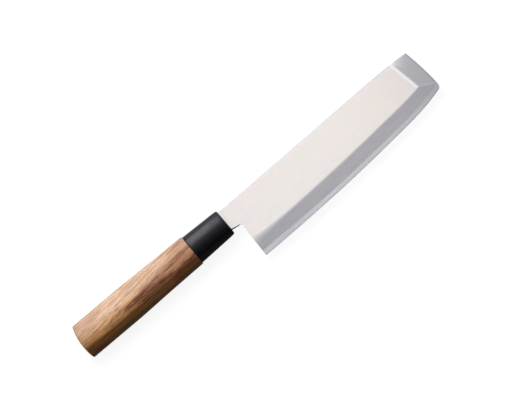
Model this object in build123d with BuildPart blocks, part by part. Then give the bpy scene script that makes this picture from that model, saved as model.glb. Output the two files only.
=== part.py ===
from build123d import *
import os
from math import acos, degrees, sqrt

# A single-bevelled vegetable knife with a wooden handle and a resin ferrule, in millimetres.
# +X runs from the butt to the tip, +Y towards the spine and +Z out of the bevelled face.
# The origin lies under the middle of the knife's outline, level with the lowest side of the handle.

# Wooden grip: a D-shaped section that narrows from the middle towards the ferrule
grip_length = 99.5
grip_height = 25.7
grip_thickness = 20.0
grip_front_height = 23.5
grip_front_thickness = 18.4
ridge_drop = 6.3  # the ridge of the D lies this far below the handle's axis
ridge_round = 1.2
foot_rise = 1.8  # where the flat below the ridge would meet the edge side
foot_round = 3.0
butt_dome_radius = 42.0
butt_dome_offset = 3.0  # the dome's middle lies this far towards the edge side
butt_rim_radius = 1.0

# Ferrule: a moulded cap over the grip's spigot, with a mouth for the blade's neck
ferrule_length = 29.6
joint_step = 0.7  # the grip stands proud of the ferrule by this much all round
ferrule_front_height = 20.2
ferrule_front_thickness = 15.6
ferrule_wall = 1.9
ferrule_front_wall = 3.5
ferrule_rim_radius = 0.8
mouth_clearance = 0.25

# Spigot of the grip inside the ferrule
spigot_clearance = 0.1
spigot_end_clearance = 0.3

# Tang, and the resin that beds it in the grip's bore
tang_length = 84.0
tang_height = 10.4
tang_end_height = 5.0
tang_thickness = 2.8
tang_end_thickness = 1.8
bedding_gap = 0.9  # between the tang's root and the bore
bedding_corner_radius = 1.4
bedding_end_gap = 2.0
bedding_recess = 0.4  # the resin stops this far inside the ferrule's mouth

# Neck between the ferrule and the heel
neck_length = 6.7
neck_seat = 3.2  # the neck's shoulders lie this far inside the ferrule
neck_top_rise = 8.3
neck_bottom_drop = 7.1
neck_bottom_fall = 0.8
notch_radius = 2.0

# Blade outline
blade_length = 165.0
heel_depth = 35.25  # the heel's corner lies this far below the handle's axis
heel_lean = 0.95
spine_rise = 10.0  # highest level of the spine above the handle's axis
spine_bend_share = 0.8  # of the blade's length, where the spine starts to drop
tip_corner_rise = 8.9
tip_corner_back = 3.45
tip_turn = 19.5  # the front line turns upright about this far below its upper corner
tip_fall = 30.5  # the front is upright from this far below the top of the spine
tip_corner_radius = 3.2
spine_corner_radius = 0.9
edge_rise = 11.3  # the edge climbs this much from the heel to the tip

# Blade thickness
heel_thickness = 3.0
tip_thickness = 2.2
flat_fall = 0.3  # the flat is this much thinner at the bevel than at the spine
bevel_width = 12.4  # across the main bevel, at the heel and at the tip
bevel_swell = 0.6  # how much wider it is halfway
bevel_foot_thickness = 0.15
edge_thickness = 0.05
micro_bevel_width = 0.5
spine_chamfer = 0.35
spine_chamfer_width = 0.9

# Facet ground across the front of the blade
facet_height = 31.5  # from the spine down to its lower corner
facet_back = 16.0  # the facet starts this far behind the foremost point, at the spine
facet_lean = 6.0  # and this much nearer to it, level with its lower corner
facet_rim_thickness = 1.1
facet_rim_end_thickness = 0.75
facet_overrun_share = 0.3  # of facet_height, cut past it at both ends

# Edge steel forged onto the back of the cladding
steel_thickness = 0.68

# Hollow ground into the back
hollow_depth = 0.3
hollow_width = 34.0
hollow_margin = 8.0  # flat left at the heel and at the tip
wheel_radius = 400.0

overrun = 5.0

# Points of the cutting edge: share of the blade's length, share of edge_rise
edge_shares = (
    (0.0, 0.0),
    (0.25, 0.048),
    (0.5, 0.184),
    (0.75, 0.434),
    (0.9, 0.667),
    (1.0, 1.0),
)
bevel_sections = 16

# Layer of edge steel: share of the blade's length, share of steel_thickness
steel_shares = (
    (-0.03, 1.5),
    (0.0, 1.45),
    (0.25, 1.16),
    (0.5, 1.0),
    (0.75, 0.95),
    (1.03, 1.0),
)

# Taper of the grip: share of its length, share of the way from the rear to the front section
grip_taper_shares = (
    (0.0, 0.0),
    (0.38, 0.0),
    (0.46, 0.05),
    (0.54, 0.2),
    (0.63, 0.45),
    (0.71, 0.62),
    (0.8, 0.75),
    (1.0, 1.0),
)

# Places worked out from the sizes
overall_length = grip_length + ferrule_length + neck_length + blade_length
butt_x = -overall_length / 2
joint_x = butt_x + grip_length
mouth_x = joint_x + ferrule_length
heel_x = mouth_x + neck_length
tip_x = heel_x + blade_length
shoulder_x = mouth_x - neck_seat
tang_end_x = shoulder_x - tang_length
front_wall_x = mouth_x - ferrule_front_wall
spigot_front_x = front_wall_x - spigot_end_clearance
bore_end_x = tang_end_x - bedding_end_gap
bore_height = tang_height + 2 * bedding_gap
bore_width = tang_thickness + 2 * bedding_gap
axis_y = (heel_depth - grip_height / 2) / 2
axis_z = grip_thickness / 2
back_z = axis_z - heel_thickness / 2
edge_y = axis_y - heel_depth
spine_bend_x = heel_x + blade_length * spine_bend_share
spine_slope = (spine_rise - neck_top_rise) / (spine_bend_x - mouth_x)
taper_slope = (heel_thickness - tip_thickness) / blade_length
fall_slope = flat_fall / (heel_depth + spine_rise - bevel_width)


def handle_plane(x):
    """A plane across the handle, with its own x towards the spine and y out of the bevelled face."""
    return Plane(origin=(x, axis_y, axis_z), x_dir=(0, 1, 0), z_dir=(1, 0, 0))


def handle_section(x, height, thickness):
    """The D-shaped section: an oval with a ridge and a flat below it, on the bevelled side."""
    ridge_angle = degrees(acos(-2 * (ridge_drop - ridge_round) / height))
    with BuildSketch(handle_plane(x)) as section:
        with BuildLine():
            crown = EllipticalCenterArc((0, 0), height / 2, thickness / 2, arc_size=ridge_angle)
            ridge = crown @ 1 + (crown % 1) * ridge_round
            foot = Vector(-height / 2, foot_rise)
            down = (foot - ridge).normalized()
            flat = Line(ridge + down * ridge_round, foot - down * foot_round)
            Bezier(crown @ 1, ridge, flat @ 0)
            Bezier(flat @ 1, foot, (-height / 2, 0))
            EllipticalCenterArc((0, 0), height / 2, thickness / 2, start_angle=180, arc_size=180)
        make_face()
    return section.sketch


def spine_level(x):
    """How high the straight part of the spine lies."""
    return axis_y + neck_top_rise + spine_slope * (x - mouth_x)


def heel_line_x(y):
    """Where the heel line is, which leans back towards its corner."""
    return heel_x + heel_lean * (y - edge_y) / (heel_depth - neck_bottom_drop)


def flat_level(x, y):
    """Level of the blade's flat, which tapers to the tip and towards the bevel."""
    return back_z + heel_thickness - taper_slope * (x - heel_x) - fall_slope * (axis_y + spine_rise - y)


def edge_slice(share):
    """Place on the cutting edge, share by share along its curve, run on straight past both ends."""
    held = min(max(share, 0), 1)
    place = cutting_edge @ held + (cutting_edge % held) * (share - held) * blade_length
    to_tip = (place.X - heel_x) / blade_length
    return place.X, place.Y, bevel_width + bevel_swell * 4 * to_tip * (1 - to_tip)


def wedge_section(plane, foot, top):
    """A triangle outside the slope from foot to top, run past both of them."""
    slope = (Vector(*top) - Vector(*foot)).normalized() * overrun
    low = Vector(*foot) - slope
    high = Vector(*top) + slope
    with BuildSketch(plane) as section:
        with BuildLine():
            Polyline(low, high, (low.X, high.Y), close=True)
        make_face()
    return section.sketch


def bevel_section(share):
    """Section of what the main bevel takes away."""
    x, y, width = edge_slice(share)
    top = (y + width, flat_level(x, y + width))
    return wedge_section(Plane.YZ.offset(x), (y, back_z + bevel_foot_thickness), top)


def micro_bevel_section(share):
    """Section of what the last narrow bevel at the edge takes away."""
    x, y, width = edge_slice(share)
    rise = flat_level(x, y + width) - back_z - bevel_foot_thickness
    top = (y + micro_bevel_width, back_z + bevel_foot_thickness + rise * micro_bevel_width / width)
    return wedge_section(Plane.YZ.offset(x), (y, back_z + edge_thickness), top)


def facet_section(level):
    """Section of what the front facet takes away: level is 0 at the spine and 1 at the lower corner."""
    y = axis_y + spine_rise - facet_height * level
    start_x = tip_x - facet_back + facet_lean * level
    rim_x = tip_x - tip_corner_back * (1 - level)
    rim = facet_rim_thickness + (facet_rim_end_thickness - facet_rim_thickness) * level
    plane = Plane(origin=(0, y, 0), x_dir=(-1, 0, 0), z_dir=(0, 1, 0))
    return wedge_section(plane, (-rim_x, back_z + rim), (-start_x, flat_level(start_x, y)))


# The cutting edge, and the shares along it at which its bevels are measured
cutting_edge = Spline(
    *[(heel_x + blade_length * along, edge_y + edge_rise * rise) for along, rise in edge_shares]
)
slice_shares = [step / bevel_sections for step in range(-1, bevel_sections + 2)]

# The blade's flat, which tapers towards the tip and towards the bevel
flat_plane = Plane(
    origin=(heel_x, axis_y, flat_level(heel_x, axis_y)),
    x_dir=(1, 0, -taper_slope),
    z_dir=(taper_slope, -fall_slope, 1),
)

# Body of the blade before its two metals are parted
with BuildPart() as blade_body:
    with BuildSketch(Plane.XY.offset(back_z)) as outline:
        with BuildLine():
            spine_start = (heel_line_x(spine_level(heel_x)), spine_level(heel_x))
            spine = Line(spine_start, (spine_bend_x, spine_level(spine_bend_x)))
            tip_corner = (tip_x - tip_corner_back, axis_y + tip_corner_rise)
            TangentArc(spine @ 1, tip_corner, tangent=spine % 1)
            front = (tip_x, axis_y + spine_rise - tip_fall)
            Bezier(tip_corner, (tip_x, axis_y + tip_corner_rise - tip_turn), front)
            Line(front, cutting_edge @ 1)
            add(cutting_edge)
            Line(cutting_edge @ 0, spine_start)
        make_face()
        fillet(outline.vertices().sort_by_distance(tip_corner)[0], spine_corner_radius)
        fillet(outline.vertices().sort_by_distance(cutting_edge @ 1)[0], tip_corner_radius)
    extrude(amount=heel_thickness + flat_fall)
    split(bisect_by=flat_plane, keep=Keep.BOTTOM)
    # The main bevel, then the narrow one at the very edge, then the facet across the front
    loft([bevel_section(share) for share in slice_shares], mode=Mode.SUBTRACT)
    loft([micro_bevel_section(share) for share in slice_shares], mode=Mode.SUBTRACT)
    facet_ends = (-facet_overrun_share, 1 + facet_overrun_share)
    loft([facet_section(level) for level in facet_ends], ruled=True, mode=Mode.SUBTRACT)

# The layer that the edge steel takes up, thicker at the heel, as forging left it
with BuildPart() as steel_layer:
    with BuildSketch(Plane.XZ.offset(heel_depth + spine_rise)):
        with BuildLine():
            seam = Spline(
                *[
                    (heel_x + blade_length * along, back_z + steel_thickness * thick)
                    for along, thick in steel_shares
                ]
            )
            Polyline(
                seam @ 1,
                ((seam @ 1).X, back_z - overrun),
                ((seam @ 0).X, back_z - overrun),
                seam @ 0,
            )
        make_face()
    extrude(amount=-2 * (heel_depth + spine_rise))

# What the grinding wheel takes out of the back, along a line through the middle of the blade
runout = sqrt(2 * wheel_radius * hollow_depth)
hollow_start = Vector(heel_x + hollow_margin + runout, (spine_level(heel_x) + edge_y) / 2)
hollow_end = Vector(tip_x - hollow_margin - runout, (spine_level(tip_x) + edge_y + edge_rise) / 2)
hollow_way = (hollow_end - hollow_start).normalized()
hollow_across = Vector(-hollow_way.Y, hollow_way.X)
trough_radius = (hollow_width**2 / 4 + hollow_depth**2) / (2 * hollow_depth)
trough_half_width = sqrt(4 * hollow_depth * (trough_radius - hollow_depth))
wheel_angle = degrees(acos(1 - 3 * hollow_depth / wheel_radius))
with BuildPart() as hollow:
    trough_plane = Plane(
        origin=(hollow_start.X, hollow_start.Y, back_z), x_dir=hollow_across, z_dir=hollow_way
    )
    with BuildSketch(trough_plane) as trough_section:
        with BuildLine():
            ThreePointArc(
                (-trough_half_width, -hollow_depth), (0, hollow_depth), (trough_half_width, -hollow_depth)
            )
            Line((-trough_half_width, -hollow_depth), (trough_half_width, -hollow_depth))
        make_face()
    extrude(amount=(hollow_end - hollow_start).length)
    # The trough runs out over the round of the wheel at both ends
    for place, turn in ((hollow_start, -wheel_angle), (hollow_end, wheel_angle)):
        axle = Axis((place.X, place.Y, back_z + hollow_depth - wheel_radius), hollow_across)
        section = trough_section.sketch.moved(Location(place - hollow_start))
        revolve(section, axis=axle, revolution_arc=turn)

with BuildPart() as edge_steel:
    add(blade_body.part)
    add(steel_layer.part, mode=Mode.INTERSECT)
    add(hollow.part, mode=Mode.SUBTRACT)
edge_steel.part.label = "edge_steel"

# The neck joins the blade to the tang, behind a round notch at the heel line
neck_bottom_y = axis_y - neck_bottom_drop
notch_y = neck_bottom_y - neck_bottom_fall
with BuildPart() as neck:
    with BuildSketch(Plane.XY.offset(back_z)):
        with BuildLine():
            notch_low = (heel_line_x(notch_y - notch_radius), notch_y - notch_radius)
            notch_high = (heel_line_x(notch_y) - notch_radius, notch_y)
            Polyline(
                notch_high,
                (mouth_x, neck_bottom_y),
                (shoulder_x, neck_bottom_y),
                (shoulder_x, spine_level(shoulder_x)),
                spine_start,
                notch_low,
            )
            RadiusArc(notch_low, notch_high, -notch_radius)
        make_face()
    extrude(amount=heel_thickness + flat_fall)
    split(bisect_by=flat_plane, keep=Keep.BOTTOM)

with BuildPart() as cladding:
    add(blade_body.part)
    add(steel_layer.part, mode=Mode.SUBTRACT)
    add(neck.part)
    # The spine's front corner is eased
    flat_face = cladding.faces().filter_by(Axis.Z, tolerance=1).sort_by(SortBy.AREA)[-1]
    spine_edges = flat_face.edges().filter_by_position(
        Axis.Y, axis_y + neck_top_rise, axis_y + spine_rise + overrun
    )
    chamfer(spine_edges, length=spine_chamfer_width, length2=spine_chamfer, reference=flat_face)
    # The tang, a tapered bar on the handle's axis
    tang_ends = []
    for x, height, thickness in (
        (shoulder_x, tang_height, tang_thickness),
        (tang_end_x, tang_end_height, tang_end_thickness),
    ):
        with BuildSketch(handle_plane(x)) as tang_section:
            Rectangle(height, thickness)
        tang_ends.append(tang_section.sketch)
    loft(tang_ends)
cladding.part.label = "cladding"

# The butt is worked to a shallow dome: this is what lies outside it
with BuildPart() as butt_waste:
    with Locations((butt_x, axis_y, axis_z)):
        Box(butt_dome_radius, 2 * grip_height, 2 * grip_thickness)
    with Locations((butt_x + butt_dome_radius, axis_y - butt_dome_offset, axis_z)):
        Sphere(butt_dome_radius, mode=Mode.SUBTRACT)

with BuildPart() as wooden_grip:
    grip_sections = []
    for along, share in grip_taper_shares:
        height = grip_height + (grip_front_height - grip_height) * share
        thickness = grip_thickness + (grip_front_thickness - grip_thickness) * share
        grip_sections.append(handle_section(butt_x + grip_length * along, height, thickness))
    loft(grip_sections, ruled=True)
    add(butt_waste.part, mode=Mode.SUBTRACT)
    butt_face = wooden_grip.faces().filter_by(GeomType.SPHERE)[0]
    fillet(butt_face.edges(), butt_rim_radius)
    # The spigot that the ferrule sits on
    with BuildSketch(handle_plane(joint_x)):
        Ellipse(ferrule_front_height / 2 - ferrule_wall, ferrule_front_thickness / 2 - ferrule_wall)
    extrude(amount=spigot_front_x - joint_x)
    # The bore for the tang
    with BuildSketch(handle_plane(spigot_front_x)):
        RectangleRounded(bore_height, bore_width, bedding_corner_radius)
    extrude(amount=bore_end_x - spigot_front_x, mode=Mode.SUBTRACT)
wooden_grip.part.label = "wooden_grip"

# Middle and size of the mouth that the neck goes through
mouth_y = axis_y + (neck_top_rise - neck_bottom_drop) / 2
mouth_height = neck_top_rise + neck_bottom_drop + 2 * mouth_clearance
mouth_width = heel_thickness + 2 * mouth_clearance


def mouth_plane(x):
    """A plane across the mouth, with its own x towards the spine and y out of the bevelled face."""
    return Plane(origin=(x, mouth_y, axis_z), x_dir=(0, 1, 0), z_dir=(1, 0, 0))


with BuildPart() as ferrule:
    ferrule_rear = handle_section(
        joint_x, grip_front_height - 2 * joint_step, grip_front_thickness - 2 * joint_step
    )
    loft([ferrule_rear, handle_section(mouth_x, ferrule_front_height, ferrule_front_thickness)])
    fillet(ferrule.faces().sort_by(Axis.X)[-1].edges(), ferrule_rim_radius)
    with BuildSketch(handle_plane(joint_x)):
        Ellipse(
            ferrule_front_height / 2 - ferrule_wall + spigot_clearance,
            ferrule_front_thickness / 2 - ferrule_wall + spigot_clearance,
        )
    extrude(amount=front_wall_x - joint_x, mode=Mode.SUBTRACT)
    with BuildSketch(mouth_plane(mouth_x)):
        Rectangle(mouth_height, mouth_width)
    extrude(amount=-ferrule_front_wall, mode=Mode.SUBTRACT)
ferrule.part.label = "ferrule"

# The resin fills the bore and the mouth round the tang and the neck
with BuildPart() as tang_bedding:
    with BuildSketch(handle_plane(bore_end_x)):
        RectangleRounded(bore_height, bore_width, bedding_corner_radius)
    extrude(amount=front_wall_x - bore_end_x)
    with BuildSketch(mouth_plane(front_wall_x)):
        Rectangle(mouth_height, mouth_width)
    extrude(amount=ferrule_front_wall - bedding_recess)
    add(cladding.part, mode=Mode.SUBTRACT)
tang_bedding.part.label = "tang_bedding"

os.makedirs("parts", exist_ok=True)
for piece in (cladding, edge_steel, ferrule, wooden_grip, tang_bedding):
    export_step(piece.part, f"parts/{piece.part.label}.step")
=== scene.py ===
import math

import bmesh
import bpy
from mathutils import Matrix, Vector


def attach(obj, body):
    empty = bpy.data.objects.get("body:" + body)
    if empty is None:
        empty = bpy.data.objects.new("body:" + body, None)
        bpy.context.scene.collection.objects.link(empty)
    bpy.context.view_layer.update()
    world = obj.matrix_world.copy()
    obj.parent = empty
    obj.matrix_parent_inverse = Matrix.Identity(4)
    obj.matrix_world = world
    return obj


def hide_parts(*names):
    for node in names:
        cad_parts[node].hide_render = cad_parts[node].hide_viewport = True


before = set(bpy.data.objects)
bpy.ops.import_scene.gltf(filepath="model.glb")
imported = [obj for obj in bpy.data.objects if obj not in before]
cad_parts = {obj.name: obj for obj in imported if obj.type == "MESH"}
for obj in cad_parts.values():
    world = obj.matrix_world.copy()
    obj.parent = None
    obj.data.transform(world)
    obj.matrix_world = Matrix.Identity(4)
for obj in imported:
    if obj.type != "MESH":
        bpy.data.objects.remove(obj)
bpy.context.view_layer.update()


# ---- Cladding: the body of the blade --------------------------------------------------------------
# Soft steel, forged in one with the neck and the tang, then ground on the right side only: a satin
# flat, a wide bevel stoned to a grey haze, and a facet across the front. The ridge before the facet
# is burnished and painted with a highlight, and its corner with a glint, the long ridge softens towards
# the heel, and a thin dark line of painted shade runs under the neck.

MM = 0.001
PER_DECIMETRE = 10
RIDGE_HALF = 0.75 * MM              # half the width that the ridges are rounded over
LONG_RIDGE_TIP = 0.45 * MM          # half the width of the long ridge where it meets the facet,
LONG_RIDGE_GROWTH = 0.65 * MM       # how much more it has at the heel,
HEEL_SOFTENING = 2.3 * MM           # and how much more still right at the heel,
HEEL_SOFTENED = 9 * MM              # which dies away over this length
NECK_LINE_END = 0.6 * MM            # the eased corner under the neck is this wide at the notch
NECK_DROP = 0.35 * MM               # and its outer side lies this much lower
NOTCH_X = -15.68 * MM               # where the neck runs into the finger notch
NECK_FOOT_Y = 3.3 * MM              # and the level of its lower side there
EASED_TO_X = -16.68 * MM            # the neck's corner is eased up to here, short of the notch,
DARK_TO_X = -14.8 * MM              # but its dark line ends here, a little way round the notch
LINE_SLACK = 0.1 * MM               # what is nearer to the line is on it
SPINE_LIFT = 0.34 * MM              # the eased corner of the spine is this much flatter than cut
RIDGE_STRETCH = 4 * MM              # shorter stretches of the long ridge are made one
SAME_PLANE = math.radians(0.06)     # faces that turn by less than this are made one
TANG_X = -24.5 * MM                 # behind this the steel is in the collar and isn't ground
LOOKS_UP = 0.9                      # a face of the bevelled side has more than this of z in its normal,
BEVEL_LEAN = 0.13                   # one of the bevel or the spine's corner more than this of y,
FACET_LEAN = 0.07                   # and one of the facet more than this of x


def merged(node_name):
    """A bmesh of a CAD node's mesh, its triangles joined where corners are within a micrometre."""
    bm = bmesh.new()
    bm.from_mesh(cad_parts[node_name].data)
    bmesh.ops.remove_doubles(bm, verts=bm.verts, dist=0.001 * MM)
    return bm


def finished(bm, name, materials, node_name, crease=25, plane=None, sharp=()):
    """The piece made of bm, standing for a CAD node: smooth but for folds of more than crease degrees,
    its sharp edges and its plane faces, with a UV map in decimetres along and across the knife for the
    brushed finishes."""
    bmesh.ops.recalc_face_normals(bm, faces=bm.faces)
    lengthwise = bm.loops.layers.uv.new("lengthwise")
    for face in bm.faces:
        face.smooth = not (plane and plane(face))
        for loop in face.loops:
            loop[lengthwise].uv = loop.vert.co.xy * PER_DECIMETRE
    for edge in bm.edges:
        folded = len(edge.link_faces) != 2 or edge.calc_face_angle() > math.radians(crease)
        edge.smooth = not folded and edge not in sharp
    mesh = bpy.data.meshes.new(name)
    bm.to_mesh(mesh)
    bm.free()
    for material in materials:
        mesh.materials.append(material)
    piece = bpy.data.objects.new(name, mesh)
    bpy.context.scene.collection.objects.link(piece)
    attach(piece, "root")
    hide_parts(node_name)


def srgb(code):
    """A colour as written in an image editor, made linear for the shader."""
    parts = [int(code[i:i + 2], 16) / 255 for i in (1, 3, 5)]
    return tuple(c / 12.92 if c <= 0.04045 else ((c + 0.055) / 1.055) ** 2.4 for c in parts) + (1.0,)


def add(tree, kind, inputs=None, stops=None, **settings):
    """Adds a node. inputs maps its sockets to values, or to the sockets or nodes that feed them, and
    stops are the (place, colour) pairs of a colour ramp. A Mix of colours takes its share at 0 and its
    colours at 6 and 7. A MapRange takes its value at 0 and its range at 1 and 2, and moves it to the
    range at 3 and 4, or to 0 to 1."""
    node = tree.nodes.new("ShaderNode" + kind)
    for key, value in settings.items():
        setattr(node, key, value)
    for key, value in (inputs or {}).items():
        if isinstance(value, bpy.types.Node):
            value = next(output for output in value.outputs if output.enabled)
        if isinstance(value, bpy.types.NodeSocket):
            tree.links.new(value, node.inputs[key])
        else:
            node.inputs[key].default_value = value
    if stops:
        ramp = node.color_ramp.elements
        for i, (place, colour) in enumerate(stops):
            stop = ramp[i] if i < 2 else ramp.new(place)
            stop.position = place
            stop.color = colour
    return node


def new_material(name):
    """An empty node material and its tree."""
    material = bpy.data.materials.new(name)
    material.use_nodes = True
    material.node_tree.nodes.clear()
    return material, material.node_tree


def grain(tree, size, detail=3.0, distortion=0.0):
    """Noise whose cells are about size = (x, y, z) millimetres."""
    place = add(tree, "TexCoord").outputs["Object"]
    cells = add(tree, "Mapping", {
        "Vector": place, "Scale": tuple(side * MM for side in size),
    }, vector_type="TEXTURE")
    return add(tree, "TexNoise", {
        "Vector": cells, "Scale": 1.0, "Detail": detail, "Roughness": 0.55, "Distortion": distortion,
    })


# Satin ground soft steel: nearly white, with lengthwise grinding lines that drift between pinkish and
# greyish, a bluish handling haze at the heel, and a darker hazed look where it was stoned. A bluish-white
# highlight is painted on the burnished ridges and before the front ridge, and a glint on its corner.
soft_steel, tree = new_material("satin_ground_soft_steel")
finish_and_highlight = add(tree, "VertexColor", layer_name="finish_and_highlight")
stoned, faceted, burnish_and_painted_highlight = add(tree, "SeparateColor", {0: finish_and_highlight.outputs["Color"]}).outputs
x, y = add(tree, "SeparateXYZ", {0: add(tree, "TexCoord").outputs["Object"]}).outputs[:2]
drift = grain(tree, (42, 4.2, 30), detail=2.0)
lines = grain(tree, (26, 0.55, 10))         # belt marks of 0.1 mm, drawn at 0.5 mm to show
haze = grain(tree, (7, 4.5, 30), distortion=0.6)
towards_spine = add(tree, "MapRange", {0: y, 1: -4 * MM, 2: 16 * MM})
towards_tip = add(tree, "MapRange", {0: x, 1: 30 * MM, 2: 110 * MM})
near_heel = add(tree, "MapRange", {0: x, 1: 22 * MM, 2: -16 * MM})
pinkish = add(tree, "Mix", {0: towards_spine, 6: srgb("#DBD1CD"), 7: srgb("#D6CCC8")}, data_type="RGBA")
greyish = add(tree, "Mix", {0: towards_spine, 6: srgb("#D4D2CF"), 7: srgb("#D0CECA")}, data_type="RGBA")
flat_colour = add(tree, "Mix", {
    0: add(tree, "MapRange", {0: drift, 1: 0.36, 2: 0.64}), 6: pinkish, 7: greyish,
}, data_type="RGBA")
flat_colour = add(tree, "Mix", {
    0: add(tree, "Math", {0: towards_tip, 1: 0.5}, operation="MULTIPLY"), 6: flat_colour,
    7: srgb("#E6DEDB"),
}, data_type="RGBA")
flat_colour = add(tree, "Mix", {
    0: add(tree, "MapRange", {0: lines, 1: 0.36, 2: 0.66, 4: 0.22}), 6: flat_colour, 7: srgb("#C5BFBD"),
}, data_type="RGBA")
flat_colour = add(tree, "Mix", {
    0: add(tree, "Math", {
        0: near_heel, 1: add(tree, "MapRange", {0: haze, 1: 0.42, 2: 0.62, 4: 0.5}),
    }, operation="MULTIPLY"),
    6: flat_colour, 7: srgb("#C8C8D0"),
}, data_type="RGBA")
FRONT_RIDGE_SLOPE = 0.191           # the front ridge leans back by this much towards the spine,
FRONT_RIDGE_X = 138.6 * MM          # is here at the level of the origin,
FRONT_HIGHLIGHT_WIDTH = 2.6 * MM          # and a highlight is painted over this width before it
to_front = add(tree, "Math", {
    0: x, 1: add(tree, "Math", {0: y, 1: FRONT_RIDGE_SLOPE}, operation="MULTIPLY"),
}, operation="ADD")
painted_front_highlight = add(tree, "MapRange", {0: to_front, 1: FRONT_RIDGE_X - FRONT_HIGHLIGHT_WIDTH, 2: FRONT_RIDGE_X})
stone_cloud = grain(tree, (9, 2.2, 20), detail=4.0)
bevel_colour = add(tree, "Mix", {
    0: add(tree, "MapRange", {0: stone_cloud, 1: 0.35, 2: 0.65}), 6: srgb("#C3C1C6"), 7: srgb("#BCBBC2"),
}, data_type="RGBA")
mottle = grain(tree, (2.2, 1.6, 20), detail=4.0)
facet_colour = add(tree, "Mix", {
    0: add(tree, "MapRange", {0: y, 1: 10 * MM, 2: 20.5 * MM}), 6: srgb("#C2C1C7"), 7: srgb("#CCCACE"),
}, data_type="RGBA")
facet_colour = add(tree, "Mix", {
    0: add(tree, "MapRange", {0: mottle, 1: 0.35, 2: 0.7, 4: 0.35}), 6: facet_colour, 7: srgb("#C8C5C7"),
}, data_type="RGBA")
FRONT_X = 149.3 * MM                # the front is here,
FRONT_UPRIGHT_Y = -9.3 * MM         # and upright below this level,
FRONT_RISE = 29.4 * MM              # its upper corner is this much higher,
FRONT_SWEEP = 3.45 * MM             # and lies this much further back,
FRONT_RIM = 0.5 * MM                # and its rim, which is this wide, is darker
up_front = add(tree, "Math", {
    0: add(tree, "Math", {0: y, 1: FRONT_UPRIGHT_Y}, operation="SUBTRACT"), 1: FRONT_RISE,
}, operation="DIVIDE")
swept = add(tree, "Math", {
    0: add(tree, "Math", {0: up_front, 1: up_front}, operation="MULTIPLY"), 1: FRONT_SWEEP,
}, operation="MULTIPLY")
front_rim = add(tree, "MapRange", {
    0: add(tree, "Math", {0: x, 1: swept}, operation="ADD"), 1: FRONT_X - FRONT_RIM, 2: FRONT_X, 4: 0.4,
})
facet_colour = add(tree, "Mix", {0: front_rim, 6: facet_colour, 7: srgb("#A3A2AC")}, data_type="RGBA")
# A bluish-white glint is painted on the facet and the flat round the corner where the front ridge meets
# the spine.
RIDGE_CORNER = (134.2 * MM, 19.2 * MM, 0.0)     # where the front ridge comes to the spine
from_corner = add(tree, "VectorMath", {
    0: add(tree, "CombineXYZ", {0: x, 1: y}), 1: RIDGE_CORNER,
}, operation="DISTANCE").outputs["Value"]
painted_corner_glint = add(tree, "MapRange", {0: from_corner, 1: 2.8 * MM, 2: 1 * MM, 4: 0.35})
facet_colour = add(tree, "Mix", {
    0: painted_corner_glint, 6: facet_colour, 7: srgb("#F2F2F8"),
}, data_type="RGBA")
# A painted highlight, bluish white, on the rounded ridges, before the front ridge and at its corner.
painted_highlight = add(tree, "Math", {
    0: add(tree, "Math", {0: burnish_and_painted_highlight, 1: painted_front_highlight}, operation="MAXIMUM"), 1: painted_corner_glint,
}, operation="MAXIMUM")
colour = add(tree, "Mix", {0: painted_highlight, 6: flat_colour, 7: srgb("#F2F2F8")}, data_type="RGBA")
colour = add(tree, "Mix", {0: stoned, 6: colour, 7: bevel_colour}, data_type="RGBA")
colour = add(tree, "Mix", {0: faceted, 6: colour, 7: facet_colour}, data_type="RGBA")
dull = add(tree, "Math", {0: stoned, 1: faceted}, operation="MAXIMUM")
roughness = add(tree, "Math", {
    0: add(tree, "MapRange", {0: dull, 1: 0.0, 2: 1.0, 3: 0.42, 4: 0.5}),
    1: add(tree, "MapRange", {0: lines, 1: 0.3, 2: 0.7, 3: -0.04, 4: 0.04}),
}, operation="ADD")
relief = add(tree, "Bump", {"Strength": 0.35, "Distance": 0.02 * MM, "Height": lines})
brushing = add(tree, "Tangent", direction_type="UV_MAP", uv_map="lengthwise")
shader = add(tree, "BsdfPrincipled", {
    "Base Color": colour, "Metallic": 1.0, "Roughness": roughness, "Normal": relief, "Anisotropic": 0.7,
    "Anisotropic Rotation": 0.25, "Tangent": brushing,
})
add(tree, "OutputMaterial", {0: shader})

# Dark soft steel for the neck's underside and the tang, dull and nearly black, spotted like forge scale.
# Under the neck it is painted shade, standing for the shade and dark reflection of its eased corner.
neck_shade_dark, tree = new_material("dark_steel_painted_shade")
dark_spots = grain(tree, (2.5, 1.2, 1.2), detail=4.0)
colour = add(tree, "ValToRGB", {0: dark_spots}, stops=[(0.35, srgb("#2A2B2C")), (0.68, srgb("#454647"))])
shader = add(tree, "BsdfPrincipled", {
    "Base Color": colour, "Metallic": 0.6,
    "Roughness": add(tree, "MapRange", {0: dark_spots, 1: 0.3, 2: 0.7, 3: 0.5, 4: 0.68}),
})
add(tree, "OutputMaterial", {0: shader})

bm = merged("cladding")
bmesh.ops.dissolve_limit(bm, angle_limit=SAME_PLANE, verts=bm.verts, edges=bm.edges)


def ground_side(face):
    """Which ground surface of the bevelled side a face belongs to, or None."""
    if face.normal.z < LOOKS_UP or face.material_index or face.calc_center_median().x < TANG_X:
        return None
    if abs(face.normal.y) > BEVEL_LEAN:
        return "spine" if face.normal.y > 0 else "bevel"
    return "facet" if face.normal.x > FACET_LEAN else "flat"


def between(one, other):
    """The edges between two ground surfaces."""
    return [edge for edge in bm.edges if {ground_side(face) for face in edge.link_faces} == {one, other}]


def cut_flat(end_x, point, normal):
    """Cuts the flat along a plane, in its faces nearer to the handle than end_x."""
    faces = [face for face in bm.faces
             if ground_side(face) == "flat" and face.calc_center_median().x < end_x]
    parts = {part for face in faces for part in (face, *face.edges, *face.verts)}
    bmesh.ops.bisect_plane(bm, geom=list(parts), plane_co=point, plane_no=normal)
    bm.normal_update()


def part_way(value, start, end):
    """How far value has come from start to end, held to 0 to 1."""
    return max(0, min(1, (value - start) / (end - start)))


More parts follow.
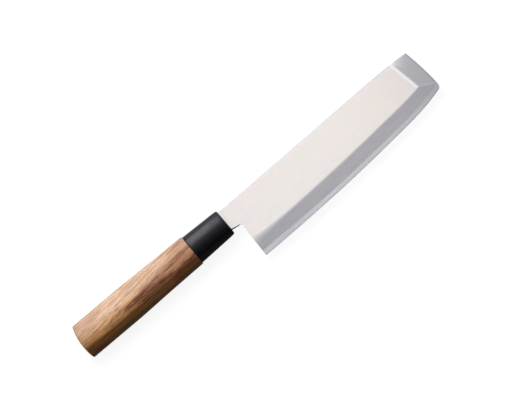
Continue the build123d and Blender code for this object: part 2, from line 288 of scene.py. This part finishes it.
def nearest(point, line):
    """The point nearest to point on a line of straight stretches."""
    best = None
    for a, b in line:
        spot = a + (b - a) * part_way((point - a).dot(b - a), 0, (b - a).length_squared)
        if best is None or (spot - point).length < (best - point).length:
            best = spot
    return best


# The spine's corner is eased less than it was cut, and was stoned like the facet.
eased_spine = bm.faces.layers.int.new("eased_spine")
for face in bm.faces:
    face[eased_spine] = ground_side(face) == "spine"
for vert in {vert for face in bm.faces if ground_side(face) == "spine" for vert in face.verts}:
    if not any(ground_side(face) in ("flat", "facet") for face in vert.link_faces):
        vert.co.z += SPINE_LIFT

# The neck's lower corner is eased, and the easing dies out where the neck runs into the notch. Its
# faces there take the dark steel, a painted shade that draws a thin dark line.
NECK_LINE = Vector((0.225, 0.974, 0))       # the way that the line looks, square to its length
cut_flat(FRONT_RIDGE_X, (DARK_TO_X, 0, 0), (1, 0, 0))
line_spot = Vector((NOTCH_X, NECK_FOOT_Y + NECK_LINE_END, 0))
cut_flat(DARK_TO_X, line_spot, NECK_LINE)
under_neck = [face for face in bm.faces
              if ground_side(face) == "flat" and face.calc_center_median().x < DARK_TO_X
              and (face.calc_center_median() - line_spot).dot(NECK_LINE) < 0]
for face in under_neck:
    face.material_index = 1
for vert in {vert for face in under_neck for vert in face.verts if vert.co.x < EASED_TO_X}:
    if (vert.co - line_spot).dot(NECK_LINE) < -LINE_SLACK:
        vert.co.z -= NECK_DROP

# The ridges are rounded, the long one more and more towards the heel. Its short stretches are merged
# into long ones first, because they would hold the rounding down.
middle = {vert for edge in between("flat", "bevel") for vert in edge.verts
          if not any(ground_side(face) == "facet" for face in vert.link_faces)}
bmesh.ops.remove_doubles(bm, verts=list(middle), dist=RIDGE_STRETCH)
bmesh.ops.bisect_edges(bm, edges=between("flat", "bevel"), cuts=1)
long_ridge = between("flat", "bevel")
ridges = long_ridge + between("flat", "facet") + between("facet", "bevel")
long_line = [tuple(vert.co.copy() for vert in edge.verts) for edge in long_ridge]
front_x = max(point.x for stretch in long_line for point in stretch)
heel_x = min(point.x for stretch in long_line for point in stretch)
rounded = bmesh.ops.bevel(
    bm, geom=ridges, offset=RIDGE_HALF, offset_type="OFFSET", affect="EDGES", segments=6, profile=0.5,
    material=-1, clamp_overlap=False,
)["faces"]

# How each surface was finished follows from how it leans: stoned towards the edge, faceted towards the
# front, and burnished where it turns over into the facet, where a highlight is painted as well.
finish_and_highlight = bm.loops.layers.float_color.new("finish_and_highlight")
for face in bm.faces:
    side = ground_side(face)
    for loop in face.loops:
        tilt = face.normal
        if face in rounded:
            tilts = [near.normal for near in loop.vert.link_faces if ground_side(near)]
            tilt = sum(tilts, Vector()).normalized()
        if side is None or face[eased_spine]:
            loop[finish_and_highlight] = (0, face[eased_spine], 0, 1)
            continue
        stone = part_way(-tilt.y, 0.02, BEVEL_LEAN)
        facet = part_way(tilt.x, 0.02, 0.08) * (1 - stone)
        painted_shine = part_way(tilt.x, 0.055, 0.025) if face in rounded and tilt.x > 0.012 else 0
        loop[finish_and_highlight] = (stone, facet, painted_shine, 1)

# The long ridge gets its own width, which grows towards the heel.
for vert in {vert for face in rounded for vert in face.verts}:
    spot = nearest(vert.co, long_line)
    if (spot - vert.co).length < 1.5 * RIDGE_HALF and vert.co.x < front_x:
        from_heel = vert.co.x - heel_x
        half = (LONG_RIDGE_TIP + LONG_RIDGE_GROWTH * (1 - from_heel / (front_x - heel_x))
                + HEEL_SOFTENING * math.exp(-from_heel / HEEL_SOFTENED))
        vert.co = spot + (vert.co - spot) * (half / RIDGE_HALF)

# The rounded ridges are shaded by themselves, and the flat, the walls and the back as planes.
rims = {edge for face in rounded for edge in face.edges
        if any(near not in rounded for near in edge.link_faces)}
finished(bm, "blade_body", [soft_steel, neck_shade_dark], "cladding", sharp=rims,
         plane=lambda face: face.normal.z > 0.9999 or face.normal.z < 0.5 and not face.material_index)


# ---- Edge steel: the layer that carries the cutting edge ------------------------------------------
# Hard carbon steel, forge-welded to the cladding's back and ground with it. It shows as a paler strip
# along the edge, stoned finer than the cladding, and as the whole of the hollow-ground back.

hard_steel, tree = new_material("stoned_carbon_steel")
lines = grain(tree, (20, 0.5, 10))          # stone marks, drawn coarse enough to show
cloud = grain(tree, (14, 2.0, 14))
colour = add(tree, "Mix", {
    0: add(tree, "MapRange", {0: cloud, 1: 0.35, 2: 0.65}), 6: srgb("#CECDD3"), 7: srgb("#C7C6CD"),
}, data_type="RGBA")
colour = add(tree, "Mix", {
    0: add(tree, "MapRange", {0: lines, 1: 0.35, 2: 0.7, 4: 0.2}), 6: colour, 7: srgb("#C2C1C8"),
}, data_type="RGBA")
relief = add(tree, "Bump", {"Strength": 0.3, "Distance": 0.02 * MM, "Height": lines})
brushing = add(tree, "Tangent", direction_type="UV_MAP", uv_map="lengthwise")
shader = add(tree, "BsdfPrincipled", {
    "Base Color": colour, "Metallic": 1.0,
    "Roughness": add(tree, "MapRange", {0: lines, 1: 0.3, 2: 0.7, 3: 0.42, 4: 0.48}), "Normal": relief,
    "Anisotropic": 0.85, "Anisotropic Rotation": 0.25, "Tangent": brushing,
})
add(tree, "OutputMaterial", {0: shader})
finished(merged("edge_steel"), "blade_edge", [hard_steel], "edge_steel", crease=6)


# ---- Grip: the D-shaped wooden handle -------------------------------------------------------------
# Close-grained hardwood, shaped with one soft ridge for the fingers, sanded and oiled. It is light and
# pinkish on the spine side and browner towards the ridge, partly its own tone and partly painted shade,
# with arched growth rings in the middle, and cut so near the heart of the log that a purple-brown flame
# of it shows in the front half.

LOG_HEART = (-51 * MM, 10.6 * MM, 24.5 * MM)    # where the log's heart passes over the front of the grip
LOG_TURN = (0.0, math.radians(3.5), math.radians(3.2))      # and how far it is out of line with it
RING = 1.25                         # width of a growth ring in millimetres
FLAME_RIM = 9.6                     # the flame begins this many millimetres from the heart,
FLAME_FULL = 8.2                    # and is full here,
CORE_RIM = 5.9                      # where its paler core begins,
CORE_FULL = 5.2                     # and where the core is full
GRIP_FRONT_X = -50.9 * MM

oiled_wood, tree = new_material("oiled_hardwood")
place = add(tree, "TexCoord").outputs["Object"]
log = add(tree, "Mapping", {
    "Vector": place, "Location": LOG_HEART, "Rotation": LOG_TURN, "Scale": (MM, MM, MM),
}, vector_type="TEXTURE")


def in_log(length, width, detail=3.0, roughness=0.55):
    """Noise drawn out along the log, its cells length by width millimetres."""
    cells = add(tree, "Mapping", {"Vector": log, "Scale": (1 / length, 1 / width, 1 / width)})
    return add(tree, "TexNoise", {
        "Vector": cells, "Scale": 1.0, "Detail": detail, "Roughness": roughness,
    })


def swing(noise, width):
    """Noise moved to swing about zero, width wide."""
    return add(tree, "Math", {
        0: add(tree, "Math", {0: noise, 1: 0.5}, operation="SUBTRACT"), 1: width,
    }, operation="MULTIPLY")


# Growth rings round the heart, and along it fibres and open pores, which are drawn twice as wide as
# real ones so that they show.
side, depth = add(tree, "SeparateXYZ", {0: log}).outputs[1:]
depth = add(tree, "Math", {0: depth, 1: swing(in_log(45, 9, detail=2.0), 5.0)}, operation="ADD")
straight = add(tree, "VectorMath", {
    0: add(tree, "CombineXYZ", {1: side, 2: depth}),
}, operation="LENGTH").outputs["Value"]
from_heart = add(tree, "Math", {0: straight, 1: swing(in_log(11, 2.8), 2.0)}, operation="ADD")
ring = add(tree, "Math", {
    0: add(tree, "Math", {0: from_heart, 1: RING}, operation="DIVIDE"),
}, operation="FRACT")
ring_shade = add(tree, "ValToRGB", {0: ring}, stops=[
    (0.0, (0.15, 0.15, 0.15, 1)), (0.45, (0.2, 0.2, 0.2, 1)), (0.8, (1, 1, 1, 1)),
    (1.0, (0.15, 0.15, 0.15, 1)),
])
fibres = in_log(22, 1.3, detail=4.0, roughness=0.6)
fine_fibres = in_log(13, 0.7, detail=2.0)
pores = add(tree, "MapRange", {0: in_log(5.5, 0.75, detail=2.0), 1: 0.6, 2: 0.7})

# The ground colour goes from olive brown below the ridge to pinkish tan at the spine side, partly the
# wood's own tone and partly painted shade that darkens the lower side, and is greyer at the butt, redder
# at the collar and more amber in patches of the middle.
patches = in_log(28, 5, detail=2.0)
x, y = add(tree, "SeparateXYZ", {0: place}).outputs[:2]
tone_and_shade_height = add(tree, "Math", {0: y, 1: swing(patches, 6 * MM)}, operation="ADD")
wood = add(tree, "ValToRGB", {0: add(tree, "MapRange", {0: tone_and_shade_height, 1: -2 * MM, 2: 24 * MM})}, stops=[
    (0.0, srgb("#4E391F")), (0.12, srgb("#7E592E")), (0.24, srgb("#A67A47")), (0.36, srgb("#C89B68")),
    (0.52, srgb("#E3BD95")), (0.7, srgb("#DFBEA3")), (1.0, srgb("#DBBDA7")),
])
rings_show = add(tree, "MapRange", {0: in_log(34, 6, detail=1.0), 1: 0.35, 2: 0.65, 3: 0.2, 4: 0.7})
wood = add(tree, "Mix", {
    0: add(tree, "Math", {0: ring_shade, 1: rings_show}, operation="MULTIPLY"), 6: wood,
    7: srgb("#CDB7A6"),
}, data_type="RGBA", blend_type="MULTIPLY")
wood = add(tree, "Mix", {
    0: add(tree, "MapRange", {0: fibres, 1: 0.45, 2: 0.61, 4: 0.68}), 6: wood, 7: srgb("#CFC0B4"),
}, data_type="RGBA", blend_type="MULTIPLY")
wood = add(tree, "Mix", {
    0: add(tree, "MapRange", {0: fine_fibres, 1: 0.5, 2: 0.6, 4: 0.45}), 6: wood, 7: srgb("#CABAAD"),
}, data_type="RGBA", blend_type="MULTIPLY")
wood = add(tree, "Mix", {
    0: add(tree, "MapRange", {0: x, 1: -122 * MM, 2: -150 * MM, 4: 0.6}), 6: wood, 7: srgb("#D2C4B9"),
}, data_type="RGBA", blend_type="MULTIPLY")
wood = add(tree, "Mix", {
    0: add(tree, "MapRange", {0: x, 1: -78 * MM, 2: -60 * MM, 4: 0.55}), 6: wood, 7: srgb("#C8B0A0"),
}, data_type="RGBA", blend_type="MULTIPLY")
amber = add(tree, "Math", {
    0: add(tree, "MapRange", {0: patches, 1: 0.46, 2: 0.6}),
    1: add(tree, "MapRange", {0: y, 1: 15 * MM, 2: 11 * MM}),
}, operation="MULTIPLY")
wood = add(tree, "Mix", {
    0: add(tree, "Math", {0: amber, 1: 0.6}, operation="MULTIPLY"), 6: wood, 7: srgb("#F0CDA6"),
}, data_type="RGBA", blend_type="MULTIPLY")

# The flame of heartwood, with feathered sides and a paler core. It darkens towards the ridge side, partly
# in its own tone and partly as painted shade.
feathered = add(tree, "Math", {
    0: from_heart, 1: swing(in_log(13, 1.1, detail=4.0), 4.6),
}, operation="ADD")
heart = add(tree, "Math", {
    0: add(tree, "MapRange", {0: feathered, 1: FLAME_RIM, 2: FLAME_FULL}),
    1: add(tree, "MapRange", {0: in_log(15, 0.9), 1: 0.37, 2: 0.52, 3: 0.55}),
}, operation="MULTIPLY")
core = add(tree, "MapRange", {0: feathered, 1: CORE_RIM, 2: CORE_FULL})
# Darker towards the ridge side: the heartwood's own tone together with painted shade.
heart_colour_and_shade = add(tree, "Mix", {
    0: add(tree, "MapRange", {0: y, 1: 13.5 * MM, 2: 8.5 * MM}), 6: srgb("#A0705A"), 7: srgb("#724536"),
}, data_type="RGBA")
streaked = add(tree, "MapRange", {0: fibres, 1: 0.44, 2: 0.58, 4: 0.9})
heart_colour_and_shade = add(tree, "Mix", {
    0: streaked, 6: heart_colour_and_shade, 7: srgb("#BBA39A"),
}, data_type="RGBA", blend_type="MULTIPLY")
heart_colour_and_shade = add(tree, "Mix", {
    0: add(tree, "Math", {0: core, 1: 0.75}, operation="MULTIPLY"), 6: heart_colour_and_shade, 7: srgb("#B88D6C"),
}, data_type="RGBA")
wood = add(tree, "Mix", {
    0: add(tree, "Math", {0: heart, 1: 0.92}, operation="MULTIPLY"), 6: wood, 7: heart_colour_and_shade,
}, data_type="RGBA")

# A dark streak beside the ridge.
STREAK_Y = 4.8 * MM
off_ridge = add(tree, "Math", {
    0: add(tree, "Math", {0: y, 1: STREAK_Y}, operation="SUBTRACT"), 1: swing(fibres, 1.2 * MM),
}, operation="ADD")
off_ridge = add(tree, "Math", {0: off_ridge}, operation="ABSOLUTE")
wood = add(tree, "Mix", {
    0: add(tree, "MapRange", {0: off_ridge, 1: 0.4 * MM, 2: 1.3 * MM, 3: 0.55, 4: 0.0}), 6: wood,
    7: srgb("#5C3514"),
}, data_type="RGBA")
wood = add(tree, "Mix", {
    0: add(tree, "Math", {0: pores, 1: 0.65}, operation="MULTIPLY"), 6: wood, 7: srgb("#A69388"),
}, data_type="RGBA", blend_type="MULTIPLY")
relief = add(tree, "Bump", {
    "Strength": 0.5, "Distance": 0.05 * MM,
    "Height": add(tree, "Math", {0: fibres, 1: pores}, operation="SUBTRACT"),
})
shader = add(tree, "BsdfPrincipled", {
    "Base Color": wood,
    "Roughness": add(tree, "MapRange", {0: fibres, 1: 0.3, 2: 0.7, 3: 0.48, 4: 0.62}), "Normal": relief,
    "Specular IOR Level": 0.1,
})
add(tree, "OutputMaterial", {0: shader})

AXIS = Vector((0, 11.2 * MM, 10 * MM))  # the handle's axis runs through this point
GRIP_SKIN = (11.3 * MM, 8.87 * MM)      # what is farther from it than this oval is the outside
RIM_STRETCH = 6 * MM                    # the edges of the front rim are shorter than this
RIM_EASE = 0.3 * MM                     # and are eased by this much


def outside(vert, oval):
    """Whether a vertex is outside an oval round the handle's axis, given by its half sizes."""
    return ((vert.co.y - AXIS.y) / oval[0]) ** 2 + ((vert.co.z - AXIS.z) / oval[1]) ** 2 > 1


bm = merged("wooden_grip")
front_rim = [edge for edge in bm.edges if edge.calc_length() < RIM_STRETCH and all(
    abs(vert.co.x - GRIP_FRONT_X) < 0.01 * MM and outside(vert, GRIP_SKIN) for vert in edge.verts)]
bmesh.ops.bevel(bm, geom=front_rim, offset=RIM_EASE, offset_type="OFFSET", affect="EDGES",
                segments=3, profile=0.5, material=-1, clamp_overlap=True)
finished(bm, "grip", [oiled_wood], "wooden_grip")


# ---- Ferrule: the black collar between grip and blade ---------------------------------------------
# Moulded black resin, pushed over the grip's spigot. Its ends are eased and its round side is lightly
# polished, less so towards the front, where the neck of the blade goes in through a slot.

COLLAR_FRONT_X = -21.3 * MM
FRONT_EASE = (3.4 * MM, 0.36 * MM)      # length over which the front end is eased, and how far it drops
REAR_EASE = (0.9 * MM, 0.22 * MM)       # and the same for the rear end
EASE_CUTS = (1.0, 0.7, 0.4)             # the cuts of each end, as shares of that length
COLLAR_SKIN = (8.98 * MM, 6.93 * MM)    # what is farther from the axis than this oval is the outside
POLISHED_TO_X = -34 * MM                # from here the polish dies away,
UNPOLISHED_FROM_X = -22.5 * MM          # up to here
DULL_LEAN = 0.45                        # a face that leans more to the edge side is the dull flat

black_resin, tree = new_material("moulded_black_resin")
cloud = grain(tree, (3, 3, 3))
x = add(tree, "SeparateXYZ", {0: add(tree, "TexCoord").outputs["Object"]}).outputs["X"]
unrubbed = add(tree, "MapRange", {0: x, 1: POLISHED_TO_X, 2: UNPOLISHED_FROM_X, 4: 0.08})
roughness = add(tree, "Math", {
    0: add(tree, "MapRange", {0: cloud, 1: 0.3, 2: 0.7, 3: 0.33, 4: 0.4}), 1: unrubbed,
}, operation="ADD")
shader = add(tree, "BsdfPrincipled", {
    "Base Color": srgb("#08080B"), "Roughness": roughness, "Specular IOR Level": 0.3,
    "Specular Tint": (0.9, 0.89, 1.0, 1.0),
})
add(tree, "OutputMaterial", {0: shader})

# The flat below the ridge was left as it came from the mould, dull and dead black.
dull_resin, tree = new_material("unpolished_black_resin")
shader = add(tree, "BsdfPrincipled", {
    "Base Color": srgb("#0A0A0C"), "Roughness": 0.6, "Specular IOR Level": 0.05,
})
add(tree, "OutputMaterial", {0: shader})

# Each end is cut a few times to give it verts to bend at, and these sink more and more towards it.
bm = merged("ferrule")
for end_x, sign, (length, drop) in ((COLLAR_FRONT_X, 1, FRONT_EASE), (GRIP_FRONT_X, -1, REAR_EASE)):
    for step in EASE_CUTS:
        cut = end_x - sign * length * step
        bmesh.ops.bisect_plane(bm, geom=bm.verts[:] + bm.edges[:] + bm.faces[:], plane_co=(cut, 0, 0),
                               plane_no=(1, 0, 0))
    for vert in bm.verts:
        share = 1 - sign * (end_x - vert.co.x) / length
        across = vert.co - Vector((vert.co.x, AXIS.y, AXIS.z))
        if share > 0 and outside(vert, COLLAR_SKIN):
            vert.co -= across.normalized() * drop * share ** 2
bm.normal_update()
for face in bm.faces:
    if face.normal.y < -DULL_LEAN:
        face.material_index = 1
finished(bm, "collar", [black_resin, dull_resin], "ferrule")


# ---- Bedding: what holds the tang -----------------------------------------------------------------
# Dark adhesive resin, poured round the tang in the grip's bore and the collar's slot. Only a sunken
# joint round the neck shows.

dark_bedding, tree = new_material("set_bedding_resin")
cloud = grain(tree, (1.2, 1.2, 1.2))
colour = add(tree, "ValToRGB", {0: cloud}, stops=[(0.35, srgb("#100E0D")), (0.7, srgb("#231F1C"))])
shader = add(tree, "BsdfPrincipled", {"Base Color": colour, "Roughness": 0.62})
add(tree, "OutputMaterial", {0: shader})
finished(merged("tang_bedding"), "bedding", [dark_bedding], "tang_bedding")


# ---- Table ----------------------------------------------------------------------------------------
# A plain white table top, far wider than the knife, that keeps a soft shadow of it. It looks white
# to the camera and in mirrors, and throws only the light of a mid-grey onto the knife.

TABLE_HALF = 4.0
white_table, tree = new_material("white_table")
path = add(tree, "LightPath")
seen = add(tree, "Math", {
    0: path.outputs["Is Camera Ray"],
    1: add(tree, "Math", {
        0: path.outputs["Is Glossy Ray"], 1: path.outputs["Is Transmission Ray"],
    }, operation="MAXIMUM"),
}, operation="MAXIMUM")
matt = add(tree, "BsdfDiffuse", {"Color": srgb("#7E7E7E")})
lift = add(tree, "Emission", {"Color": srgb("#FFFFFF"), "Strength": 0.87})
both = add(tree, "AddShader", {0: matt, 1: lift})
top = add(tree, "MixShader", {0: seen, 1: matt, 2: both})
add(tree, "OutputMaterial", {0: top})
bm = bmesh.new()
bmesh.ops.create_grid(bm, x_segments=1, y_segments=1, size=TABLE_HALF)
mesh = bpy.data.meshes.new("table_top")
bm.to_mesh(mesh)
bm.free()
mesh.materials.append(white_table)
table = bpy.data.objects.new("table_top", mesh)
bpy.context.scene.collection.objects.link(table)


# ---- Light ----------------------------------------------------------------------------------------
# A white studio: even overhead, dim on the edge side, white at the horizon, and one tall soft box on
# the spine side that lights the knife from there and lays the soft band along the collar.

world = bpy.data.worlds.new("studio")
bpy.context.scene.world = world
world.use_nodes = True
tree = world.node_tree
tree.nodes.clear()
way = add(tree, "SeparateXYZ", {0: add(tree, "TexCoord").outputs["Generated"]})

# Brightness over how far a direction points to the spine side. A colour ramp holds at most 1, so it
# holds these divided by their peak.
steps = [(-1.0, 0.05), (-0.4, 0.08), (-0.18, 0.32), (0.0, 0.8), (0.2, 0.95), (0.5, 0.8), (0.8, 0.5),
         (1.0, 0.4)]
SKY_PEAK = 1.5
across = add(tree, "ValToRGB", {
    0: add(tree, "MapRange", {0: way.outputs["Y"], 1: -1.0, 2: 1.0}),
}, stops=[((side + 1) / 2, (level / SKY_PEAK,) * 3 + (1,)) for side, level in steps])

# It is a little dimmer towards the tip, and white at the horizon.
onward = add(tree, "MapRange", {0: way.outputs["X"], 1: 0.0, 2: 0.7, 3: 1.0, 4: 0.75})
onward = add(tree, "CombineXYZ", {0: onward, 1: onward, 2: onward})
across = add(tree, "Mix", {0: 1.0, 6: across, 7: onward}, data_type="RGBA", blend_type="MULTIPLY")
horizon = add(tree, "MapRange", {0: way.outputs["Z"], 1: 0.09, 2: 0.06})
sky = add(tree, "Mix", {0: horizon, 6: across, 7: (1 / SKY_PEAK,) * 3 + (1,)}, data_type="RGBA")
background = add(tree, "Background", {0: sky, 1: SKY_PEAK})
add(tree, "OutputWorld", {0: background})

box_light = bpy.data.lights.new("soft_box", "AREA")
box_light.shape = "RECTANGLE"
box_light.size = 0.36
box_light.size_y = 1.15
box_light.energy = 13.7
soft_box = bpy.data.objects.new("soft_box", box_light)
bpy.context.scene.collection.objects.link(soft_box)
soft_box.location = (0.03, 0.95, 0.74)
towards_collar = Vector((-35 * MM, AXIS.y, AXIS.z)) - soft_box.location
soft_box.rotation_euler = towards_collar.to_track_quat("-Z", "Y").to_euler()


# ---- Camera ---------------------------------------------------------------------------------------
# Straight above the blade through a long lens, turned so that the knife points up to the right.

lens = bpy.data.cameras.new("camera")
lens.lens = 250
lens.sensor_width = 36
lens.clip_end = 20
camera = bpy.data.objects.new("camera", lens)
bpy.context.scene.collection.objects.link(camera)
camera.location = (0.0043, 0.0093, 2.4355)
camera.rotation_euler = (0, 0, math.radians(-40.15))
bpy.context.scene.camera = camera
bpy.context.scene.view_settings.view_transform = "Standard"
